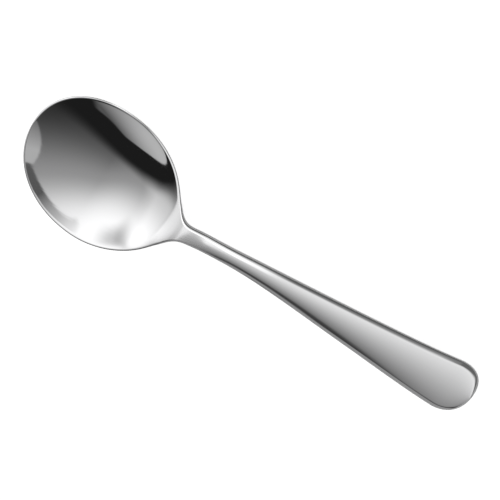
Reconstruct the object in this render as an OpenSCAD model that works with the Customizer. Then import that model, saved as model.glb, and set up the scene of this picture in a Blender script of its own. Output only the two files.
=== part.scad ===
// Round-bowl soup spoon, stamped from one blank of polished steel.
// x runs from the bowl tip to the handle end, y across the spoon, z up out of the bowl.
// Every cross-section is worked out by the functions below from the sizes in the sections.

/* [Overall] */
// Length from the bowl tip to the handle end
spoon_length = 170; // [150:1:200]

/* [Bowl] */
// Widest width of the bowl
bowl_width = 48.1; // [36:0.1:60]
// From the bowl tip to its widest place
bowl_front = 28; // [20:0.5:36]
// From the widest place to the heel of the bowl
bowl_back = 27.5; // [20:0.5:36]
// Depth of the hollow below the rim at the widest place
bowl_depth = 8.7; // [7:0.1:10]
// Roundness of the front outline, 2 is an ellipse and more is squarer
front_fullness = 2.12; // [1.8:0.02:2.6]
// How much gentler the wall is near the rim than that of a plain dish, behind the front
wall_flare = 0.25; // [0:0.05:0.4]
// Softness of the rise from the bowl floor to the neck
heel_softness = 0.3; // [0.1:0.01:0.5]
// How far back the hollow reaches, as a share of the back of the bowl
heel_reach = 1.06; // [1:0.01:1.15]

/* [Neck] */
// Width of the neck
neck_width = 6.7; // [5:0.1:10]
// Length of the narrow stretch behind the heel
neck_length = 26; // [15:0.2:36]
// Softness of the fillets between bowl and neck
fillet_softness = 0.19; // [0.1:0.01:0.3]
// Length behind the heel over which the fillets die out
fillet_run = 9; // [6:0.1:14]
// How late the fillets begin along the back of the bowl
fillet_onset = 1.5; // [1:0.1:3]

/* [Handle] */
// Width of the handle halfway along
grip_width = 12.7; // [8:0.1:18]
// Width of the handle at its broad end
end_width = 20; // [12:0.1:26]
// Length of the rounded end
end_round = 9.7; // [6:0.1:14]
// Roundness of the end outline, 2 is an ellipse and more is squarer
end_fullness = 2.34; // [1.8:0.02:3]

/* [Side profile] */
// Height of the rim at the bowl tip
tip_height = 5.3; // [4:0.1:9]
// Height of the rim at the widest place
rim_height = 10; // [9:0.1:11]
// Height of the rim on its way up to the heel
back_height = 12.1; // [10:0.1:14]
// Height of the edge just behind the heel, the highest place
heel_height = 14.2; // [12:0.1:18]
// Height of the edge halfway along the neck
neck_height = 11.8; // [9:0.1:15]
// Height of the edge where the neck becomes the handle
arch_height = 8.8; // [6:0.1:13]
// Height of the edge in the middle of the handle
palm_height = 6.9; // [4:0.1:10]
// Height of the edge where the handle turns down
fall_height = 5.2; // [3:0.1:8]
// Height of the edge at the handle end
end_height = 2.1; // [1.8:0.1:4]

/* [Metal] */
// Thickness of the bowl, measured straight down
bowl_metal = 1.4; // [1:0.1:2]
// Thickness of the neck at its edges
neck_metal = 2.3; // [1.6:0.1:3]
// Thickness of the handle at its edges
handle_metal = 2.2; // [1.6:0.1:2.6]
// How far the top of the neck swells above its edges
neck_crown = 0.4; // [0.1:0.1:1.2]
// How far the top of the handle swells above its edges
handle_crown = 0.6; // [0.2:0.1:1]
// Width of the rolled edge of the bowl
bowl_edge = 0.7; // [0.4:0.1:1.2]
// Width of the rolled edge of the neck
neck_edge = 1.1; // [0.6:0.1:1.6]
// Width of the rolled edge of the handle at its broad end
handle_edge = 2; // [0.8:0.1:2.6]

/* [Hidden] */

// Places along the length
heel_x = bowl_front + bowl_back;
bowl_end_x = heel_x + fillet_run;
neck_end_x = heel_x + neck_length;
round_x = spoon_length - end_round;
function behind_heel(share) = heel_x + share * (spoon_length - heel_x);

// Half-width of the handle, edge height, metal and crown along the length
width_line = [
    [heel_x, neck_width / 2],
    [neck_end_x, neck_width / 2],
    [(neck_end_x + round_x) / 2, grip_width / 2],
    [round_x, end_width / 2]
];
height_line = [
    [0, tip_height],
    [bowl_front, rim_height],
    [bowl_front + 0.65 * bowl_back, back_height],
    [behind_heel(0.015), heel_height],
    [behind_heel(0.11), neck_height],
    [behind_heel(0.284), arch_height],
    [behind_heel(0.6), palm_height],
    [behind_heel(0.825), fall_height],
    [spoon_length, end_height]
];
metal_line = [
    [0, bowl_metal],
    [bowl_front + bowl_back / 2, bowl_metal],
    [bowl_end_x, neck_metal],
    [neck_end_x, neck_metal],
    [round_x, handle_metal],
    [spoon_length, handle_metal]
];
crown_line = [
    [0, 0],
    [heel_x, 0],
    [neck_end_x, neck_crown],
    [round_x, handle_crown],
    [spoon_length, handle_crown]
];
edge_line = [
    [0, bowl_edge],
    [bowl_front + bowl_back / 2, bowl_edge],
    [bowl_end_x, neck_edge],
    [neck_end_x, neck_edge],
    [round_x, handle_edge],
    [spoon_length, handle_edge]
];

// Facets: steps along each stretch, across a section and round each edge
front_steps = 20;
back_steps = 22;
neck_steps = 9;
handle_steps = 22;
end_steps = 12;
across_steps = 14;
edge_steps = 4;
// The first section of a rounded end lies this far inside it
end_inset = 0.02;
// Step for measuring how fast the outline widens
slope_step = 0.01;

// Smooth curves through lists of [place, value]
function slope_at(line, i) =
    let (before = line[max(i - 1, 0)], after = line[min(i + 1, len(line) - 1)])
    (after[1] - before[1]) / (after[0] - before[0]);
function span_of(line, x, i = 0) =
    i >= len(line) - 2 || x < line[i + 1][0] ? i : span_of(line, x, i + 1);
function curve(line, x) =
    let (i = span_of(line, x), run = line[i + 1][0] - line[i][0])
    let (u = min(max((x - line[i][0]) / run, 0), 1))
    line[i][1] * (1 - u * u * (3 - 2 * u))
    + line[i + 1][1] * u * u * (3 - 2 * u)
    + run * u * (1 - u) * (slope_at(line, i) * (1 - u) - slope_at(line, i + 1) * u);

// Ease from 0 to 1, a quarter of a rounded outline, and a number that fades out softly below 0
function ease(u) = let (v = min(max(u, 0), 1)) v * v * (3 - 2 * v);
function lobe(u, fullness) = pow(max(1 - pow(min(max(u, 0), 1), fullness), 0), 1 / fullness);
function soft_floor(c, softness) = (c + sqrt(c * c + softness * softness)) / 2;

// Outline seen from above: the front, the handle, and the round back that runs out into the neck
function front_half(x) = bowl_width / 2 * lobe((bowl_front - x) / bowl_front, front_fullness);
function handle_half(x) =
    curve(width_line, min(x, round_x)) * lobe((x - round_x) / end_round, end_fullness);
function fade_in(x) = pow(min((x - bowl_front) / bowl_back, 1), fillet_onset);
function fillet_at(x) = fillet_softness * fade_in(x) * (1 - ease((x - heel_x) / fillet_run));
function back_half(x) =
    bowl_width / 2 * sqrt(soft_floor(1 - pow((x - bowl_front) / bowl_back, 2), fillet_at(x)));
function half_width(x) =
    x <= bowl_front ? front_half(x) : norm([back_half(x), handle_half(x) * fade_in(x)]);
function outline_slope(x) =
    (half_width(min(x + slope_step, spoon_length)) - half_width(max(x - slope_step, 0)))
    / (min(x + slope_step, spoon_length) - max(x - slope_step, 0));

// The bowl is deeper where its rim is higher, so its floor stays level while the rim climbs
function depth_at(x) = curve(height_line, x) - rim_height + bowl_depth;

// Hollow of the bowl: 1 over the deepest place, 0 at the rim and along the handle
// In front of the widest place the middle of the floor rises in one sweep to the rim at the tip
// Behind it the hollow follows the round of the bowl, inside the fillets
function front_share(x) =
    let (ahead = max(bowl_front - x, 0) / bowl_front)
    1 - (tip_height - rim_height + bowl_depth) * ahead * ahead / depth_at(x);
function dish(x, y) =
    let (back = (x - bowl_front) / (bowl_back * heel_reach))
    soft_floor(1 - back * back - pow(2 * y / bowl_width, 2), heel_softness * back * back);
function across_share(x, s) =
    x < bowl_front ? 1 - s * s : dish(x, half_width(x) * s) - dish(x, half_width(x));
function flare_at(x) = wall_flare * ease((x / bowl_front - 0.25) / 1.1);
function hollow(x, s) =
    let (q = across_share(x, s))
    front_share(x) * q * (1 - flare_at(x) * (1 - q));

// Underside and top of a section at s, which runs from -1 to 1 across it
function underside(x, s) =
    curve(height_line, x) - depth_at(x) * hollow(x, s) - curve(metal_line, x);
function topside(x, s) =
    underside(x, s) + curve(metal_line, x) + curve(crown_line, x) * (1 - s * s);
// The two close up round the edge, over the width of the rolled edge
function rolled(x, s) =
    let (inside = half_width(x) * (1 - abs(s)) / norm([1, outline_slope(x)]))
    let (u = min(inside / curve(edge_line, x), 1))
    sqrt(u * (2 - u));
function surface_z(x, s, side) =
    let (top = topside(x, s), low = underside(x, s))
    (top + low) / 2 + side * rolled(x, s) * (top - low) / 2;

// Places across a section, close together round the edges
function edge_share(x) =
    min(curve(edge_line, x) * norm([1, outline_slope(x)]) / half_width(x), 0.8);
function across(x) =
    let (e = edge_share(x))
    concat(
        [for (i = [0 : edge_steps - 1]) -1 + e * (1 - cos(90 * i / edge_steps))],
        [for (i = [0 : across_steps]) (1 - e) * (2 * i / across_steps - 1)],
        [for (i = [edge_steps - 1 : -1 : 0]) 1 - e * (1 - cos(90 * i / edge_steps))]
    );
function section(x) =
    let (row = across(x), last = len(row) - 1)
    concat(
        [for (s = row) [x, half_width(x) * s, surface_z(x, s, 1)]],
        [for (i = [last - 1 : -1 : 1]) [x, half_width(x) * row[i], surface_z(x, row[i], -1)]]
    );

// Places of the sections along each stretch
function even(from, to, steps) = [for (i = [0 : steps]) from + (to - from) * i / steps];
function tip_places() =
    [for (i = [0 : front_steps]) max(bowl_front * (1 - cos(90 * i / front_steps)), end_inset)];
function bowl_places() =
    concat(tip_places(), [for (i = [1 : back_steps])
        bowl_front + (bowl_end_x - bowl_front) * i / back_steps]);
function handle_places() =
    concat(even(neck_end_x, round_x, handle_steps), [for (i = [1 : end_steps])
        min(round_x + end_round * sin(90 * i / end_steps), spoon_length - end_inset)]);

// Solid through a row of sections, closed by flat faces at both ends
module loft(places) {
    sections = [for (x = places) section(x)];
    ring = len(sections[0]);
    rows = len(places) - 1;
    side_faces = [for (r = [0 : rows - 1], i = [0 : ring - 1])
        let (j = (i + 1) % ring)
        each [
            [r * ring + i, r * ring + j, (r + 1) * ring + j],
            [r * ring + i, (r + 1) * ring + j, (r + 1) * ring + i]
        ]];
    first_face = [[for (i = [ring - 1 : -1 : 0]) i]];
    last_face = [[for (i = [0 : ring - 1]) rows * ring + i]];
    polyhedron(points = [for (one = sections) each one],
        faces = concat(side_faces, first_face, last_face));
}

// The spoon lies on the z = 0 plane, centred over the origin along its length
rest_z = min([for (x = concat(bowl_places(), handle_places())) surface_z(x, 0, -1)]);
module centred() {
    translate([-spoon_length / 2, 0, -rest_z]) children();
}

// Bowl with the fillets that run into the neck
module bowl() {
    color("gainsboro") centred() loft(bowl_places());
}

// Narrow neck with an oval section
module neck() {
    color("silver") centred() loft(even(bowl_end_x, neck_end_x, neck_steps));
}

// Handle, widening to the rounded broad end
module handle() {
    color("lightgray") centred() loft(handle_places());
}

bowl();
neck();
handle();
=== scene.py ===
import math

import bmesh
import bpy
from bpy.props import FloatProperty, FloatVectorProperty, IntProperty, PointerProperty
from bpy.types import Operator, Panel, PropertyGroup
from mathutils import Matrix, Vector


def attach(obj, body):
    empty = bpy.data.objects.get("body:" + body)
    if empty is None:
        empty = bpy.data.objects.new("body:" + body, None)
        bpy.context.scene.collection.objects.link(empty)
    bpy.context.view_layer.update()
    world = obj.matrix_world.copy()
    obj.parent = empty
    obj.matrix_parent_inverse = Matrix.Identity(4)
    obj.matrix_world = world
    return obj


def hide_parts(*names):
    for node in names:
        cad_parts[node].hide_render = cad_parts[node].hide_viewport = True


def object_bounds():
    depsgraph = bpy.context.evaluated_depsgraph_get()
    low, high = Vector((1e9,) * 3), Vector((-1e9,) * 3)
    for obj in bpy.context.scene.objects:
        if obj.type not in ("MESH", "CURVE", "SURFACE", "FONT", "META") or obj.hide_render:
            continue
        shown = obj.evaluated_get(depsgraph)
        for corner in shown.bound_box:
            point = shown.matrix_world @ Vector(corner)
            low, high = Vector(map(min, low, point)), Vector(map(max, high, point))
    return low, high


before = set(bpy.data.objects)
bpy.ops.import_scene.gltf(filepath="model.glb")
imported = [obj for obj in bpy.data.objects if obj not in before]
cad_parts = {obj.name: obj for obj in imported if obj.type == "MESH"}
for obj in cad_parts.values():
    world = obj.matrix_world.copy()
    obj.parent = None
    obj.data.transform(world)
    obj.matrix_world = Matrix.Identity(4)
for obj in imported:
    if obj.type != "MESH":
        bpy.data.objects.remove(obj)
cad_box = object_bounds()

bl_info = {
    "name": "Round-bowl soup spoon",
    "version": (1, 0, 0),
    "blender": (4, 5, 0),
    "location": "3D View > Sidebar > Spoon",
    "description": "Forms a polished steel soup spoon around its CAD frame and sets up a light tent",
    "category": "Add Mesh",
}


# Settings


def length_setting(name, description, default):
    """A length in metres, shown in the unit of the scene."""
    return FloatProperty(
        name=name,
        description=description,
        default=default,
        min=0.0,
        soft_max=0.3,
        precision=5,
        unit="LENGTH",
        subtype="DISTANCE",
    )


def share_setting(name, description, default, top=1.0):
    """A plain number between 0 and top."""
    return FloatProperty(
        name=name, description=description, default=default, min=0.0, soft_max=top
    )


def angle_setting(name, description, degrees):
    """An angle, given here in degrees."""
    return FloatProperty(
        name=name, description=description, default=math.radians(degrees), subtype="ANGLE"
    )


class SpoonSizes(PropertyGroup):
    """Sizes of the spoon, the same ones as in the CAD source."""

    spoon_length: length_setting("Length", "From the bowl tip to the handle end", 0.170)
    end_inset: length_setting("End inset", "The solid stops this far inside each end", 0.00002)
    bowl_width: length_setting("Bowl width", "Widest width of the bowl", 0.0481)
    bowl_front: length_setting("Bowl front", "From the bowl tip to its widest place", 0.028)
    bowl_back: length_setting("Bowl back", "From the widest place to the heel", 0.0275)
    bowl_depth: length_setting("Bowl depth", "Depth of the hollow at the widest place", 0.0087)
    front_fullness: share_setting("Front fullness", "2 is an ellipse, more is squarer", 2.12, 3)
    wall_flare: share_setting("Wall flare", "How much gentler the wall is near the rim", 0.25)
    heel_softness: share_setting("Heel softness", "Softness of the rise to the neck", 0.3)
    heel_reach: share_setting("Heel reach", "How far back the hollow reaches", 1.06, 1.2)
    neck_width: length_setting("Neck width", "Width of the neck", 0.0067)
    neck_length: length_setting("Neck length", "Narrow stretch behind the heel", 0.026)
    fillet_softness: share_setting("Fillet softness", "Softness of the neck's fillets", 0.19)
    fillet_run: length_setting("Fillet run", "Length over which the fillets die out", 0.009)
    fillet_onset: share_setting("Fillet onset", "How late the fillets begin", 1.5, 3)
    grip_width: length_setting("Grip width", "Width halfway along the handle", 0.0127)
    end_width: length_setting("End width", "Width of the broad end", 0.020)
    end_round: length_setting("End round", "Length of the rounded end", 0.0097)
    end_fullness: share_setting("End fullness", "2 is an ellipse, more is squarer", 2.34, 3)
    tip_height: length_setting("Tip height", "Height of the rim at the tip", 0.0053)
    rim_height: length_setting("Rim height", "Height of the rim at the widest place", 0.010)
    back_height: length_setting("Back height", "Height of the rim on its way up", 0.0121)
    heel_height: length_setting("Heel height", "Height just behind the heel", 0.0142)
    neck_height: length_setting("Neck height", "Height halfway along the neck", 0.0118)
    arch_height: length_setting("Arch height", "Height at the root of the handle", 0.0088)
    palm_height: length_setting("Palm height", "Height in the middle of the handle", 0.0069)
    fall_height: length_setting("Fall height", "Height where the handle turns down", 0.0052)
    end_height: length_setting("End height", "Height of the edge at the end", 0.0021)
    bowl_metal: length_setting("Bowl metal", "Thickness of the bowl", 0.0014)
    neck_metal: length_setting("Neck metal", "Thickness of the neck at its edges", 0.0023)
    handle_metal: length_setting("Handle metal", "Thickness of the handle at its edges", 0.0022)
    neck_crown: length_setting("Neck crown", "Swell of the neck above its edges", 0.0004)
    handle_crown: length_setting("Handle crown", "Swell of the handle above its edges", 0.0006)
    bowl_edge: length_setting("Bowl edge", "Width of the rolled edge of the bowl", 0.0007)
    neck_edge: length_setting("Neck edge", "Width of the rolled edge of the neck", 0.0011)
    handle_edge: length_setting("Handle edge", "Width of the rolled edge at the broad end", 0.002)
    row_step: length_setting("Row step", "Distance between rows along the spoon", 0.0006)
    columns: IntProperty(
        name="Columns", description="Columns from the middle to the edge", default=40, min=8
    )
    edge_columns: IntProperty(
        name="Edge columns", description="Columns round the rolled edge", default=9, min=3
    )


class SpoonFinish(PropertyGroup):
    """Look of the polished steel."""

    steel: FloatVectorProperty(
        name="Steel",
        description="Colour of the bare steel",
        default=(0.80, 0.80, 0.805),
        min=0.0,
        max=1.0,
        subtype="COLOR",
    )
    bowl_roughness: share_setting("Bowl roughness", "Blur of the reflections in the bowl", 0.02)
    throat_roughness: share_setting("Throat roughness", "Blur between bowl and neck", 0.14)
    handle_roughness: share_setting("Handle roughness", "Blur along the handle", 0.05)
    mark_depth: share_setting("Mark depth", "Strength of the polishing marks", 0.02)


class SpoonStage(PropertyGroup):
    """Floor, light tent, light panel and camera."""

    floor_colour: FloatVectorProperty(
        name="Floor",
        description="Colour of the floor",
        default=(0.80, 0.80, 0.80),
        min=0.0,
        max=1.0,
        subtype="COLOR",
    )
    tent_radius: length_setting("Tent radius", "Radius of the light tent", 0.30)
    floor_radius: length_setting("Floor radius", "Radius of the floor", 6.0)
    panel_place: FloatVectorProperty(
        name="Light place",
        description="Middle of the light panel over the throat",
        default=(-0.014, 0.0275, 0.0401),
        unit="LENGTH",
        subtype="TRANSLATION",
    )
    panel_length: length_setting("Light length", "Size of the light panel along the spoon", 0.090)
    panel_width: length_setting("Light width", "Size of the light panel across the spoon", 0.084)
    panel_tilt: angle_setting("Light tilt", "Rise of the light panel towards the handle", 27.7)
    panel_level: share_setting("Light level", "Brightness of the light panel", 0.65, 2)
    camera_distance: length_setting("Camera distance", "From the camera to the spoon", 0.5478)
    camera_lens: FloatProperty(
        name="Lens",
        description="Focal length of the camera",
        default=121.113,
        min=1.0,
        unit="CAMERA",
    )
    camera_rise: angle_setting("Rise", "Angle of the camera above the floor", 64.298)
    camera_turn: angle_setting("Turn", "Angle of the camera round the spoon", 185.132)
    camera_roll: angle_setting("Roll", "Turn of the picture about the line of sight", 207.572)


# Form of the spoon

# Where the heights of the profile lie: the first as a share of the bowl's back, the others as shares
# of the stretch from the heel to the handle end
BACK_PLACE = 0.65
HEEL_PLACE = 0.015
NECK_PLACE = 0.11
ARCH_PLACE = 0.284
PALM_PLACE = 0.6
FALL_PLACE = 0.825
# The wall begins to flare at this share of the bowl's front and flares fully after the run
FLARE_START = 0.25
FLARE_RUN = 1.1
# The rolled edge takes up no more than this share of the half-width
MOST_EDGE = 0.8
# Half of the length over which the slope of the outline is measured, in metres
SLOPE_STEP = 1e-5


def ease(u):
    """Smooth step from 0 to 1."""
    v = min(max(u, 0.0), 1.0)
    return v * v * (3 - 2 * v)


def lobe(u, fullness):
    """A quarter of a rounded outline: 1 at 0, 0 at 1."""
    v = min(max(u, 0.0), 1.0)
    return max(1 - v**fullness, 0.0) ** (1 / fullness)


def soft_floor(value, softness):
    """A number that fades out softly below 0."""
    return (value + math.hypot(value, softness)) / 2


class Line:
    """Smooth curve through points of (place, value)."""

    def __init__(self, points):
        self.points = points
        last = len(points) - 1
        self.slopes = []
        for i in range(len(points)):
            before = points[max(i - 1, 0)]
            after = points[min(i + 1, last)]
            self.slopes.append((after[1] - before[1]) / (after[0] - before[0]))

    def __call__(self, x):
        i = 0
        while i < len(self.points) - 2 and x >= self.points[i + 1][0]:
            i += 1
        start, first = self.points[i]
        end, second = self.points[i + 1]
        run = end - start
        u = min(max((x - start) / run, 0.0), 1.0)
        mix = ease(u)
        bend = self.slopes[i] * (1 - u) - self.slopes[i + 1] * u
        return first * (1 - mix) + second * mix + run * u * (1 - u) * bend


class SpoonForm:
    """Outline and surfaces of the spoon, with x from the bowl tip to the handle end."""

    def __init__(self, sizes):
        self.sizes = sizes
        self.heel = sizes.bowl_front + sizes.bowl_back
        self.bowl_end = self.heel + sizes.fillet_run
        self.neck_end = self.heel + sizes.neck_length
        self.round_start = sizes.spoon_length - sizes.end_round
        mid_back = sizes.bowl_front + sizes.bowl_back / 2
        run = sizes.spoon_length - self.heel
        end = sizes.spoon_length
        self.width = Line(
            [
                (self.heel, sizes.neck_width / 2),
                (self.neck_end, sizes.neck_width / 2),
                ((self.neck_end + self.round_start) / 2, sizes.grip_width / 2),
                (self.round_start, sizes.end_width / 2),
            ]
        )
        self.height = Line(
            [
                (0, sizes.tip_height),
                (sizes.bowl_front, sizes.rim_height),
                (sizes.bowl_front + BACK_PLACE * sizes.bowl_back, sizes.back_height),
                (self.heel + HEEL_PLACE * run, sizes.heel_height),
                (self.heel + NECK_PLACE * run, sizes.neck_height),
                (self.heel + ARCH_PLACE * run, sizes.arch_height),
                (self.heel + PALM_PLACE * run, sizes.palm_height),
                (self.heel + FALL_PLACE * run, sizes.fall_height),
                (end, sizes.end_height),
            ]
        )
        self.metal = Line(
            [
                (0, sizes.bowl_metal),
                (mid_back, sizes.bowl_metal),
                (self.bowl_end, sizes.neck_metal),
                (self.neck_end, sizes.neck_metal),
                (self.round_start, sizes.handle_metal),
                (end, sizes.handle_metal),
            ]
        )
        self.crown = Line(
            [
                (0, 0),
                (self.heel, 0),
                (self.neck_end, sizes.neck_crown),
                (self.round_start, sizes.handle_crown),
                (end, sizes.handle_crown),
            ]
        )
        self.edge = Line(
            [
                (0, sizes.bowl_edge),
                (mid_back, sizes.bowl_edge),
                (self.bowl_end, sizes.neck_edge),
                (self.neck_end, sizes.neck_edge),
                (self.round_start, sizes.handle_edge),
                (end, sizes.handle_edge),
            ]
        )

    def half_width(self, x):
        """Half of the spoon's width at x."""
        sizes = self.sizes
        if x < sizes.bowl_front:
            ahead = (sizes.bowl_front - x) / sizes.bowl_front
            return sizes.bowl_width / 2 * lobe(ahead, sizes.front_fullness)
        back = (x - sizes.bowl_front) / sizes.bowl_back
        fade = min(back, 1) ** sizes.fillet_onset
        fillet = sizes.fillet_softness * fade * (1 - ease((x - self.heel) / sizes.fillet_run))
        bowl = sizes.bowl_width / 2 * math.sqrt(soft_floor(1 - back**2, fillet))
        handle = self.width(min(x, self.round_start))
        handle *= lobe((x - self.round_start) / sizes.end_round, sizes.end_fullness)
        return math.hypot(bowl, handle * fade)

    def stretch(self, x):
        """Length of the outline for each length along the spoon."""
        low = max(x - SLOPE_STEP, 0.0)
        high = min(x + SLOPE_STEP, self.sizes.spoon_length)
        slope = (self.half_width(high) - self.half_width(low)) / (high - low)
        return math.hypot(1, slope)

    def front_place(self, y):
        """Where the front of the bowl is y wide on each side."""
        sizes = self.sizes
        return sizes.bowl_front * (1 - lobe(2 * y / sizes.bowl_width, sizes.front_fullness))

    def end_place(self, y):
        """Where the rounded end is y wide on each side."""
        sizes = self.sizes
        return self.round_start + sizes.end_round * lobe(2 * y / sizes.end_width, sizes.end_fullness)

    def depth(self, x):
        """Depth of the bowl below its rim, more where the rim is higher."""
        return self.height(x) - self.sizes.rim_height + self.sizes.bowl_depth

    def dish(self, x, y):
        """Hollow behind the widest place, before it is levelled to 0 at the edge."""
        sizes = self.sizes
        back = (x - sizes.bowl_front) / (sizes.bowl_back * sizes.heel_reach)
        inside = 1 - back**2 - (2 * y / sizes.bowl_width) ** 2
        return soft_floor(inside, sizes.heel_softness * back**2)

    def hollow(self, x, share):
        """1 over the deepest place, 0 at the rim and along the handle."""
        sizes = self.sizes
        floor = 1.0
        if x < sizes.bowl_front:
            ahead = 1 - x / sizes.bowl_front
            tip_depth = sizes.tip_height - sizes.rim_height + sizes.bowl_depth
            floor -= tip_depth * ahead**2 / self.depth(x)
            bowl = 1 - share * share
        else:
            width = self.half_width(x)
            bowl = self.dish(x, width * share) - self.dish(x, width)
        flare = sizes.wall_flare * ease((x / sizes.bowl_front - FLARE_START) / FLARE_RUN)
        return floor * bowl * (1 - flare * (1 - bowl))

    def surface(self, x, share, side):
        """Height of the top (side 1) or the underside (side -1) at a share of the half-width."""
        metal = self.metal(x)
        low = self.height(x) - self.depth(x) * self.hollow(x, share) - metal
        top = low + metal + self.crown(x) * (1 - share * share)
        inside = self.half_width(x) * (1 - share) / self.stretch(x)
        roll = min(max(inside / self.edge(x), 0.0), 1.0)
        return (top + low) / 2 + side * math.sqrt(roll * (2 - roll)) * (top - low) / 2

    def edge_share(self, x):
        """Share of the half-width that the rolled edge takes up."""
        return min(self.edge(x) * self.stretch(x) / self.half_width(x), MOST_EDGE)


# Mesh of the pieces

# The corners of the first and the last row lie where the bowl and the broad end have these shares of
# their full width
FRONT_CORNER = 0.70
END_CORNER = 0.74
# Lengths in metres over which the bow of the handle end dies out and rows are finer at both ends
END_RUN = 0.030
FINE_RUN = 0.006
# Each fine gap is this many times the one before it
ROW_GROWTH = 1.15
# Rows of the bowl and the neck are this many times closer than those of the handle
CLOSER_ROWS = 1.05
# Half the size of the flat grid that is formed into the blank
HALF_GRID = 0.5
# Points this close, in metres, become one point
WELD = 2e-7
# A cut this close to a row of points runs along that row
SEAM_GAP = 1e-6


def rows_between(start, stop, step):
    """Even places from start to stop, without start."""
    count = max(round((stop - start) / step), 1)
    return [start + (stop - start) * (i + 1) / count for i in range(count)]


def end_rows(edge, edge_columns, step):
    """Distances from a rounded end: close together round its edge, then growing to step."""
    turns = [math.pi / 2 * i / edge_columns for i in range(edge_columns + 1)]
    places = [edge * (1 - math.cos(turn)) for turn in turns]
    gap = places[-1] - places[-2]
    while places[-1] < FINE_RUN:
        gap = min(gap * ROW_GROWTH, step)
        places.append(places[-1] + gap)
    return places[:-1]


class SheetPlan:
    """Rows and columns of the sheet. Rows bow out to follow the bowl tip and the handle end."""

    def __init__(self, form):
        sizes = form.sizes
        self.form = form
        self.front_corner = form.front_place(sizes.bowl_width / 2 * FRONT_CORNER)
        self.end_corner = form.end_place(sizes.end_width / 2 * END_CORNER)
        self.front_run = form.heel - self.front_corner
        pull = 1 + self.bow_front(0.0) / self.front_run
        tip = end_rows(sizes.bowl_edge, sizes.edge_columns, sizes.row_step)
        rows = [self.front_corner + distance / pull for distance in tip]
        for stop in (form.heel, form.bowl_end, form.neck_end):
            rows += rows_between(rows[-1], stop, sizes.row_step / CLOSER_ROWS)
        push = 1 + self.bow_end(0.0) / END_RUN
        last = end_rows(sizes.handle_edge, sizes.edge_columns, sizes.row_step)
        tail = [self.end_corner - distance / push for distance in reversed(last)]
        rows += rows_between(rows[-1], tail[0], sizes.row_step)
        self.rows = rows + tail[1:]
        self.count = sizes.columns + sizes.edge_columns

    def bow_front(self, share):
        """How far the first row bows out at a share of its half-width."""
        width = self.form.half_width(self.front_corner)
        return self.front_corner - self.form.front_place(share * width)

    def bow_end(self, share):
        """How far the last row bows out at a share of its half-width."""
        width = self.form.half_width(self.end_corner)
        return self.form.end_place(share * width) - self.end_corner

    def across(self, row, column):
        """Share of the half-width at a column, close together round the rolled edge."""
        sizes = self.form.sizes
        edge = self.form.edge_share(row)
        if column <= sizes.columns:
            return (1 - edge) * column / sizes.columns
        turn = math.pi / 2 * (column - sizes.columns) / sizes.edge_columns
        return 1 - edge * (1 - math.sin(turn))

    def place(self, i, j):
        """Plan position of a grid point, and its share of the half-width there."""
        form = self.form
        row = self.rows[i]
        across = self.across(row, j)
        x = row
        y = across * form.half_width(row)
        front_fade = max(1 - (row - self.front_corner) / self.front_run, 0.0)
        end_fade = max(1 - (self.end_corner - row) / END_RUN, 0.0)
        if front_fade > 0:
            x -= front_fade * self.bow_front(across)
        if end_fade > 0:
            x += end_fade * self.bow_end(across)
        inset = form.sizes.end_inset
        x = min(max(x, inset), form.sizes.spoon_length - inset)
        on_outline = i in (0, len(self.rows) - 1) or j == self.count
        share = 1.0 if on_outline else min(y / form.half_width(x), 1.0)
        return x, y, share


def everything(bm):
    """All points, edges and faces of a mesh."""
    return bm.verts[:] + bm.edges[:] + bm.faces[:]


def pressed_blank(sizes):
    """The whole spoon as one closed shell, with its smooth normals kept on the vertices."""
    form = SpoonForm(sizes)
    plan = SheetPlan(form)
    last_row = len(plan.rows) - 1
    last_column = plan.count
    bm = bmesh.new()
    bmesh.ops.create_grid(bm, x_segments=last_row, y_segments=last_column, size=HALF_GRID)
    top = list(bm.verts)
    spots = {}
    for v in top:
        i = round((v.co.x + HALF_GRID) * last_row)
        j = round((v.co.y + HALF_GRID) * last_column)
        spots[v] = plan.place(i, j)
    copied = bmesh.ops.duplicate(bm, geom=everything(bm))
    under = {v: copied["vert_map"][v] for v in top}
    under_faces = [part for part in copied["geom"] if isinstance(part, bmesh.types.BMFace)]
    bmesh.ops.reverse_faces(bm, faces=under_faces)
    shift = sizes.spoon_length / 2
    for v in top:
        x, y, share = spots[v]
        v.co = (x - shift, y, form.surface(x, share, 1))
        under[v].co = (x - shift, y, form.surface(x, share, -1))
    rest = min(v.co.z for v in bm.verts)
    bmesh.ops.translate(bm, verts=bm.verts, vec=(0, 0, -rest))
    # The finer mesh would otherwise pass the top of the CAD box by a hair
    fit = min(cad_box[1][2] / max(v.co.z for v in bm.verts), 1.0)
    bmesh.ops.scale(bm, verts=bm.verts, vec=(1, 1, fit))
    bmesh.ops.remove_doubles(bm, verts=bm.verts, dist=WELD)
    bmesh.ops.mirror(
        bm, geom=everything(bm), matrix=Matrix.Identity(4), merge_dist=WELD, axis="Y"
    )
    bmesh.ops.remove_doubles(bm, verts=bm.verts, dist=WELD)
    bmesh.ops.recalc_face_normals(bm, faces=bm.faces)
    bm.normal_update()
    kept = bm.verts.layers.float_vector.new("smooth_normal")
    for v in bm.verts:
        v[kept] = v.normal
    for face in bm.faces:
        face.smooth = True
    return bm, form


def trim(bm, x, keep_high):
    """Cuts the blank square across at x and closes the cut."""
    bmesh.ops.bisect_plane(
        bm,
        geom=everything(bm),
        dist=SEAM_GAP,
        plane_co=(x, 0, 0),
        plane_no=(1, 0, 0),
        clear_inner=keep_high,
        clear_outer=not keep_high,
    )
    rim = [edge for edge in bm.edges if edge.is_boundary]
    closed = bmesh.ops.holes_fill(bm, edges=rim, sides=0)
    for face in closed["faces"]:
        face.smooth = False
        face.normal_update()
        if (face.normal.x > 0) == keep_high:
            face.normal_flip()


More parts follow.
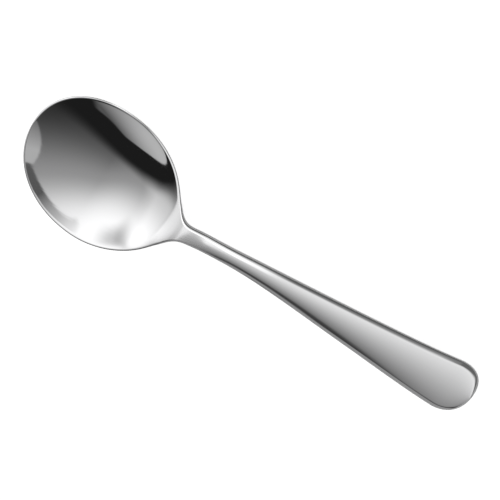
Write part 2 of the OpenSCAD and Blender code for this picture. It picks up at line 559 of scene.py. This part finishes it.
def spoon_piece(name, node, sizes, low=None, high=None):
    """One formed stretch of the blank, between the places low and high along its length."""
    bm, form = pressed_blank(sizes)
    shift = sizes.spoon_length / 2
    if low:
        trim(bm, getattr(form, low) - shift, True)
    if high:
        trim(bm, getattr(form, high) - shift, False)
    if any(not edge.is_manifold for edge in bm.edges):
        raise RuntimeError(name + " is not a closed shell")
    mesh = bpy.data.meshes.new(name)
    bm.to_mesh(mesh)
    bm.free()
    kept = mesh.attributes["smooth_normal"].data
    normals = []
    for face in mesh.polygons:
        for corner in face.loop_indices:
            vertex = mesh.loops[corner].vertex_index
            normals.append(tuple(kept[vertex].vector) if face.use_smooth else tuple(face.normal))
    mesh.normals_split_custom_set(normals)
    mesh.attributes.remove(mesh.attributes["smooth_normal"])
    piece = bpy.data.objects.new(name, mesh)
    bpy.context.scene.collection.objects.link(piece)
    mesh.materials.append(polished_steel())
    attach(piece, "root")
    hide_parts(node)


# Nodes that materials and lights share


def towards(tree, place, direction):
    """How far a place lies towards a direction."""
    node = tree.nodes.new("ShaderNodeVectorMath")
    node.operation = "DOT_PRODUCT"
    node.inputs[1].default_value = Vector(direction).normalized()
    tree.links.new(place, node.inputs[0])
    return node.outputs["Value"]


def ramp(tree, value, start, end, low=0.0, high=1.0, smooth=True):
    """low where the value is at start, high where it is at end, and between them in between."""
    node = tree.nodes.new("ShaderNodeMapRange")
    node.interpolation_type = "SMOOTHSTEP" if smooth else "LINEAR"
    node.inputs["From Min"].default_value = start
    node.inputs["From Max"].default_value = end
    node.inputs["To Min"].default_value = low
    node.inputs["To Max"].default_value = high
    tree.links.new(value, node.inputs["Value"])
    return node.outputs["Result"]


def feed(tree, socket, term):
    """Gives a socket its value: the output of another node, or a constant."""
    if isinstance(term, bpy.types.NodeSocket):
        tree.links.new(term, socket)
    else:
        socket.default_value = term


def arithmetic(tree, operation, first, second):
    """Result of an operation on two terms, each an output of a node or a constant."""
    node = tree.nodes.new("ShaderNodeMath")
    node.operation = operation
    feed(tree, node.inputs[0], first)
    feed(tree, node.inputs[1], second)
    return node.outputs["Value"]


def edge_cover(tree, place, edges):
    """1 inside all soft edges of a panel, 0 outside any of them."""
    cover = None
    for direction, start, end in edges:
        share = ramp(tree, towards(tree, place, direction), start, end)
        cover = arithmetic(tree, "MULTIPLY", cover, share) if cover else share
    return cover


# Steel

# Places along the spoon, in metres, where the blur rises from bowl to throat and falls to the handle
SATIN_RISE = (-0.036, -0.028)
SATIN_FALL = (-0.022, 0.0)
# Polishing marks: how fine along, across and up, their detail, what they add to the blur, their depth
MARK_FINENESS = (60.0, 900.0, 900.0)
MARK_DETAIL = 3.0
MARK_BLUR = 0.03
MARK_DISTANCE = 0.0001


def polished_steel():
    """Polished steel: a mirror in the bowl, satin in the throat, a little soft along the handle."""
    name = "Polished steel"
    if name in bpy.data.materials:
        return bpy.data.materials[name]
    finish = bpy.context.scene.spoon_finish
    material = bpy.data.materials.new(name)
    material.use_nodes = True
    tree = material.node_tree
    shader = tree.nodes["Principled BSDF"]
    shader.inputs["Metallic"].default_value = 1.0
    shader.inputs["Base Color"].default_value = (*finish.steel, 1.0)
    place = tree.nodes.new("ShaderNodeTexCoord").outputs["Object"]
    split = tree.nodes.new("ShaderNodeSeparateXYZ")
    tree.links.new(place, split.inputs["Vector"])
    along = split.outputs["X"]
    satin = ramp(tree, along, *SATIN_RISE, finish.bowl_roughness, finish.throat_roughness)
    fall = ramp(tree, along, *SATIN_FALL, 0.0, finish.throat_roughness - finish.handle_roughness)
    blur = arithmetic(tree, "SUBTRACT", satin, fall)
    stretch = tree.nodes.new("ShaderNodeMapping")
    stretch.inputs["Scale"].default_value = MARK_FINENESS
    tree.links.new(place, stretch.inputs["Vector"])
    noise = tree.nodes.new("ShaderNodeTexNoise")
    noise.inputs["Scale"].default_value = 1.0
    noise.inputs["Detail"].default_value = MARK_DETAIL
    tree.links.new(stretch.outputs["Vector"], noise.inputs["Vector"])
    marks = noise.outputs["Fac"]
    rough = arithmetic(tree, "ADD", arithmetic(tree, "MULTIPLY", marks, MARK_BLUR), blur)
    tree.links.new(rough, shader.inputs["Roughness"])
    bump = tree.nodes.new("ShaderNodeBump")
    bump.inputs["Strength"].default_value = finish.mark_depth
    bump.inputs["Distance"].default_value = MARK_DISTANCE
    tree.links.new(marks, bump.inputs["Height"])
    tree.links.new(bump.outputs["Normal"], shader.inputs["Normal"])
    return material


# Stage

FLOOR_SIDES = 96
# Light that the floor adds where the camera sees it, and where metal and glass show it
CAMERA_LIFT = 0.82
MIRRORED_LIFT = 0.05
TENT_DETAIL = 5
# The tent stops this far above the floor, in metres
TENT_FOOT = 0.002

ACROSS, UP, BACKWARD, HANDLE_SIDE = (0, 1, 0), (0, 0, 1), (0, -1, 0), (1, 0, 0)
# Brightness of the bare roof of the tent, as a sum of rises towards some directions:
# direction, where the rise starts and ends, brightness before and after it
ROOF_RISES = (
    ((-0.66, 0.75, 0), -0.68, 0.23, 0.005, 0.375),
    ((-0.66, 0.75, 0), 0.07, 1.04, 0.0, 1.38),
    ((-0.14, 0.20, -0.97), -0.44, -0.20, 0.0, 0.28),
)
# Panels hung over the roof, each hiding what is behind it. First the brightness, as one level or as
# direction, start, end, first level and last level, then the soft edges as direction, start and end
PANELS = (
    # Black band along the bowl's near wall
    (0.013, (((-0.24, -0.97, 0), 0.68, 0.84), (HANDLE_SIDE, -0.88, -0.77))),
    # Grey smudge in the bowl's far wall, towards the throat
    (
        0.40,
        (
            ((0.528, 0.037, -0.849), -0.935, -0.885),
            (ACROSS, -0.06, 0.22),
            (HANDLE_SIDE, -0.58, -0.74),
            (HANDLE_SIDE, -0.96, -0.78),
        ),
    ),
    # Pale strip at the bowl tip
    ((ACROSS, -0.5, -0.2, 0.20, 0.50), (((1, 0.185, 0), -0.014, -0.002),)),
    # Pale crescent under the bowl's near rim
    (
        (UP, 0.30, 0.06, 0.10, 0.55),
        (
            ((0.639, 0, -0.769), -0.452, -0.438),
            (BACKWARD, 0.60, 0.65),
            (HANDLE_SIDE, -0.245, -0.285),
        ),
    ),
    # Dark crescent under the bowl's far rim
    (
        (HANDLE_SIDE, -0.50, -0.20, 0.78, 0.11),
        (
            ((0.611, 0.320, -0.724), -0.735, -0.727),
            (ACROSS, -0.05, -0.01),
            (HANDLE_SIDE, 0.05, 0.0),
            (HANDLE_SIDE, -0.60, -0.38),
        ),
    ),
    # Lamp that the handle mirrors
    ((ACROSS, -0.60, -0.17, 0.12, 0.93), ((HANDLE_SIDE, 0.10, 0.14),)),
    # Dark gap behind the lamp, and the back wall beyond the gap
    (0.05, ((HANDLE_SIDE, 0.10, 0.14), (BACKWARD, 0.54, 0.60))),
    (0.33, ((HANDLE_SIDE, 0.10, 0.14), (BACKWARD, 0.62, 0.66))),
    # Camera side of the tent, first falling off and then darker
    ((ACROSS, 0.0, 0.4, 0.93, 0.33), ((HANDLE_SIDE, 0.10, 0.14), (ACROSS, -0.05, 0.0))),
    ((ACROSS, 0.4, 0.9, 0.32, 0.10), ((HANDLE_SIDE, -0.02, 0.04), (ACROSS, 0.38, 0.42))),
    # Dark parts that the broad end mirrors, on its near side and beyond it
    (0.15, ((HANDLE_SIDE, 0.50, 0.64), (ACROSS, 0.04, 0.25))),
    (0.15, ((HANDLE_SIDE, 0.90, 0.97),)),
)
# Two overlapping fields of the light over the throat, each with its soft edges:
# direction, start and end in metres
LIGHT_LINE = (0.885, 0, 0.465)
PANEL_LIGHT_FIELDS = (
    ((LIGHT_LINE, -0.038, -0.033), (LIGHT_LINE, 0.045, 0.025), (ACROSS, -0.0120, -0.0085)),
    ((LIGHT_LINE, -0.024, -0.006), (LIGHT_LINE, 0.034, 0.008), ((0.24, 0.96, 0.13), -0.0165, -0.0100)),
)

# The camera's distance, turn and rise are from a point this high over the origin, in metres
TARGET_HEIGHT = 0.007
# Width of the camera's sensor in millimetres, and sideways and upward shift of the picture as shares of it
SENSOR_WIDTH = 36.0
CAMERA_SHIFT = (-0.00263, 0.03349)
# Nothing closer to the camera than this is drawn, in metres
NEAREST_SEEN = 0.01


def stage_object(name, bm, material):
    """A mesh of the stage, which isn't part of the spoon."""
    mesh = bpy.data.meshes.new(name)
    bm.to_mesh(mesh)
    bm.free()
    thing = bpy.data.objects.new(name, mesh)
    bpy.context.scene.collection.objects.link(thing)
    mesh.materials.append(material)
    return thing


def bare_material(name):
    """A new material with only its output, as the material, its node tree and the output's surface."""
    material = bpy.data.materials.new(name)
    material.use_nodes = True
    tree = material.node_tree
    tree.nodes.clear()
    surface = tree.nodes.new("ShaderNodeOutputMaterial").inputs["Surface"]
    return material, tree, surface


def floor_lift(tree):
    """Light that the floor adds for rays from the camera and for rays in metal and glass."""
    rays = tree.nodes.new("ShaderNodeLightPath").outputs
    mirrored = arithmetic(tree, "MAXIMUM", rays["Is Glossy Ray"], rays["Is Transmission Ray"])
    for_camera = arithmetic(tree, "MULTIPLY", rays["Is Camera Ray"], CAMERA_LIFT)
    for_metal = arithmetic(tree, "MULTIPLY", mirrored, MIRRORED_LIFT)
    return arithmetic(tree, "ADD", for_camera, for_metal)


def lay_floor(stage):
    """A pale matt floor that is white to the camera and keeps the spoon's shadow."""
    bm = bmesh.new()
    bmesh.ops.create_circle(bm, cap_ends=True, segments=FLOOR_SIDES, radius=stage.floor_radius)
    material, tree, surface = bare_material("Pale floor")
    matt = tree.nodes.new("ShaderNodeBsdfDiffuse")
    matt.inputs["Color"].default_value = (*stage.floor_colour, 1.0)
    white = tree.nodes.new("ShaderNodeEmission")
    tree.links.new(floor_lift(tree), white.inputs["Strength"])
    total = tree.nodes.new("ShaderNodeAddShader")
    tree.links.new(matt.outputs["BSDF"], total.inputs[0])
    tree.links.new(white.outputs["Emission"], total.inputs[1])
    tree.links.new(total.outputs["Shader"], surface)
    stage_object("Floor", bm, material)


def tent_brightness(tree):
    """Brightness of the tent: its roof, with the panels laid over it one after the other."""
    unit = tree.nodes.new("ShaderNodeVectorMath")
    unit.operation = "NORMALIZE"
    tree.links.new(tree.nodes.new("ShaderNodeTexCoord").outputs["Object"], unit.inputs[0])
    place = unit.outputs["Vector"]
    total = None
    for direction, start, end, low, high in ROOF_RISES:
        rise = ramp(tree, towards(tree, place, direction), start, end, low, high)
        total = arithmetic(tree, "ADD", total, rise) if total else rise
    for tone, edges in PANELS:
        if isinstance(tone, tuple):
            direction, *fall = tone
            tone = ramp(tree, towards(tree, place, direction), *fall, smooth=False)
        lay = tree.nodes.new("ShaderNodeMix")
        feed(tree, lay.inputs["Factor"], edge_cover(tree, place, edges))
        feed(tree, lay.inputs["A"], total)
        feed(tree, lay.inputs["B"], tone)
        total = lay.outputs["Result"]
    return total


def raise_tent(stage):
    """A half dome that glows with a soft roof and soft panels, and that the camera looks through."""
    bm = bmesh.new()
    bmesh.ops.create_icosphere(bm, subdivisions=TENT_DETAIL, radius=stage.tent_radius)
    bmesh.ops.bisect_plane(
        bm, geom=everything(bm), plane_co=(0, 0, TENT_FOOT), plane_no=UP, clear_inner=True
    )
    for face in bm.faces:
        face.smooth = True
    material, tree, surface = bare_material("Light tent")
    glow = tree.nodes.new("ShaderNodeEmission")
    tree.links.new(tent_brightness(tree), glow.inputs["Strength"])
    tree.links.new(glow.outputs["Emission"], surface)
    tent = stage_object("Light tent", bm, material)
    tent.visible_camera = False


def hang_panel_light(scene, stage):
    """A light panel over the throat and the neck, which are too curved to mirror only the lamp."""
    lamp = bpy.data.lights.new("Throat light", "AREA")
    lamp.shape = "RECTANGLE"
    lamp.size = stage.panel_length
    lamp.size_y = stage.panel_width
    lamp.energy = stage.panel_level * math.pi * lamp.size * lamp.size_y
    lamp.use_nodes = True
    tree = lamp.node_tree
    place = tree.nodes.new("ShaderNodeNewGeometry").outputs["Position"]
    fields = [edge_cover(tree, place, edges) for edges in PANEL_LIGHT_FIELDS]
    lit = arithmetic(tree, "MAXIMUM", *fields)
    tree.links.new(lit, tree.nodes["Emission"].inputs["Strength"])
    light = bpy.data.objects.new("Throat light", lamp)
    scene.collection.objects.link(light)
    tilt = Matrix.Rotation(-stage.panel_tilt, 4, "Y")
    light.matrix_world = Matrix.Translation(stage.panel_place) @ tilt
    light.visible_camera = False
    light.visible_diffuse = False


def white_room(scene):
    """A plain white world round the stage."""
    world = bpy.data.worlds.new("White room")
    scene.world = world
    world.use_nodes = True
    back = world.node_tree.nodes["Background"]
    back.inputs["Color"].default_value = (1, 1, 1, 1)
    back.inputs["Strength"].default_value = 1.0


def place_camera(scene, stage):
    """The camera, round the spoon by turn, above the floor by rise and turned in the picture by roll."""
    rise, turn, roll = stage.camera_rise, stage.camera_turn, stage.camera_roll
    back = Vector(
        (math.cos(rise) * math.sin(turn), -math.cos(rise) * math.cos(turn), math.sin(rise))
    )
    level = Vector((math.cos(turn), math.sin(turn), 0))
    above = back.cross(level)
    right = math.cos(roll) * level + math.sin(roll) * above
    up = -math.sin(roll) * level + math.cos(roll) * above
    eye = Vector((0, 0, TARGET_HEIGHT)) + back * stage.camera_distance
    camera = bpy.data.objects.new("Camera", bpy.data.cameras.new("Camera"))
    scene.collection.objects.link(camera)
    camera.data.lens = stage.camera_lens
    camera.data.sensor_width = SENSOR_WIDTH
    camera.data.shift_x, camera.data.shift_y = CAMERA_SHIFT
    camera.data.clip_start = NEAREST_SEEN
    turned = Matrix((right, up, back)).transposed()
    camera.matrix_world = Matrix.Translation(eye) @ turned.to_4x4()
    scene.camera = camera


# Operators and panel


class SPOON_OT_bowl(Operator):
    """Press the bowl with its rolled rim and the fillets that run into the neck"""

    bl_idname = "spoon.bowl"
    bl_label = "Bowl"

    def execute(self, context):
        spoon_piece("spoon_bowl", "bowl", context.scene.spoon_sizes, high="bowl_end")
        return {"FINISHED"}


class SPOON_OT_neck(Operator):
    """Roll the narrow oval neck"""

    bl_idname = "spoon.neck"
    bl_label = "Neck"

    def execute(self, context):
        sizes = context.scene.spoon_sizes
        spoon_piece("spoon_neck", "neck", sizes, low="bowl_end", high="neck_end")
        return {"FINISHED"}


class SPOON_OT_handle(Operator):
    """Roll the handle that widens to the rounded end"""

    bl_idname = "spoon.handle"
    bl_label = "Handle"

    def execute(self, context):
        spoon_piece("spoon_handle", "handle", context.scene.spoon_sizes, low="neck_end")
        return {"FINISHED"}


class SPOON_OT_stage(Operator):
    """Lay the pale floor, raise the light tent, hang the light panel and place the camera"""

    bl_idname = "spoon.stage"
    bl_label = "Stage"

    def execute(self, context):
        stage = context.scene.spoon_stage
        lay_floor(stage)
        raise_tent(stage)
        hang_panel_light(context.scene, stage)
        white_room(context.scene)
        place_camera(context.scene, stage)
        context.scene.view_settings.view_transform = "Standard"
        return {"FINISHED"}


class SPOON_PT_panel(Panel):
    """Lists the pieces of the spoon and their settings"""

    bl_label = "Soup spoon"
    bl_idname = "SPOON_PT_panel"
    bl_space_type = "VIEW_3D"
    bl_region_type = "UI"
    bl_category = "Spoon"

    def draw(self, context):
        layout = self.layout
        for operator in STEPS:
            layout.operator(operator.bl_idname)
        for name in SETTINGS:
            settings = getattr(context.scene, name)
            box = layout.box()
            for key in settings.__annotations__:
                box.prop(settings, key)


SETTINGS = {
    "spoon_sizes": SpoonSizes,
    "spoon_finish": SpoonFinish,
    "spoon_stage": SpoonStage,
}
STEPS = (SPOON_OT_bowl, SPOON_OT_neck, SPOON_OT_handle, SPOON_OT_stage)
CLASSES = (*SETTINGS.values(), *STEPS, SPOON_PT_panel)


def register():
    for cls in CLASSES:
        bpy.utils.register_class(cls)
    for name, group in SETTINGS.items():
        setattr(bpy.types.Scene, name, PointerProperty(type=group))


def unregister():
    for name in SETTINGS:
        delattr(bpy.types.Scene, name)
    for cls in reversed(CLASSES):
        bpy.utils.unregister_class(cls)


def main():
    register()
    bpy.ops.spoon.bowl()
    bpy.ops.spoon.neck()
    bpy.ops.spoon.handle()
    bpy.ops.spoon.stage()


if __name__ == "__main__":
    main()
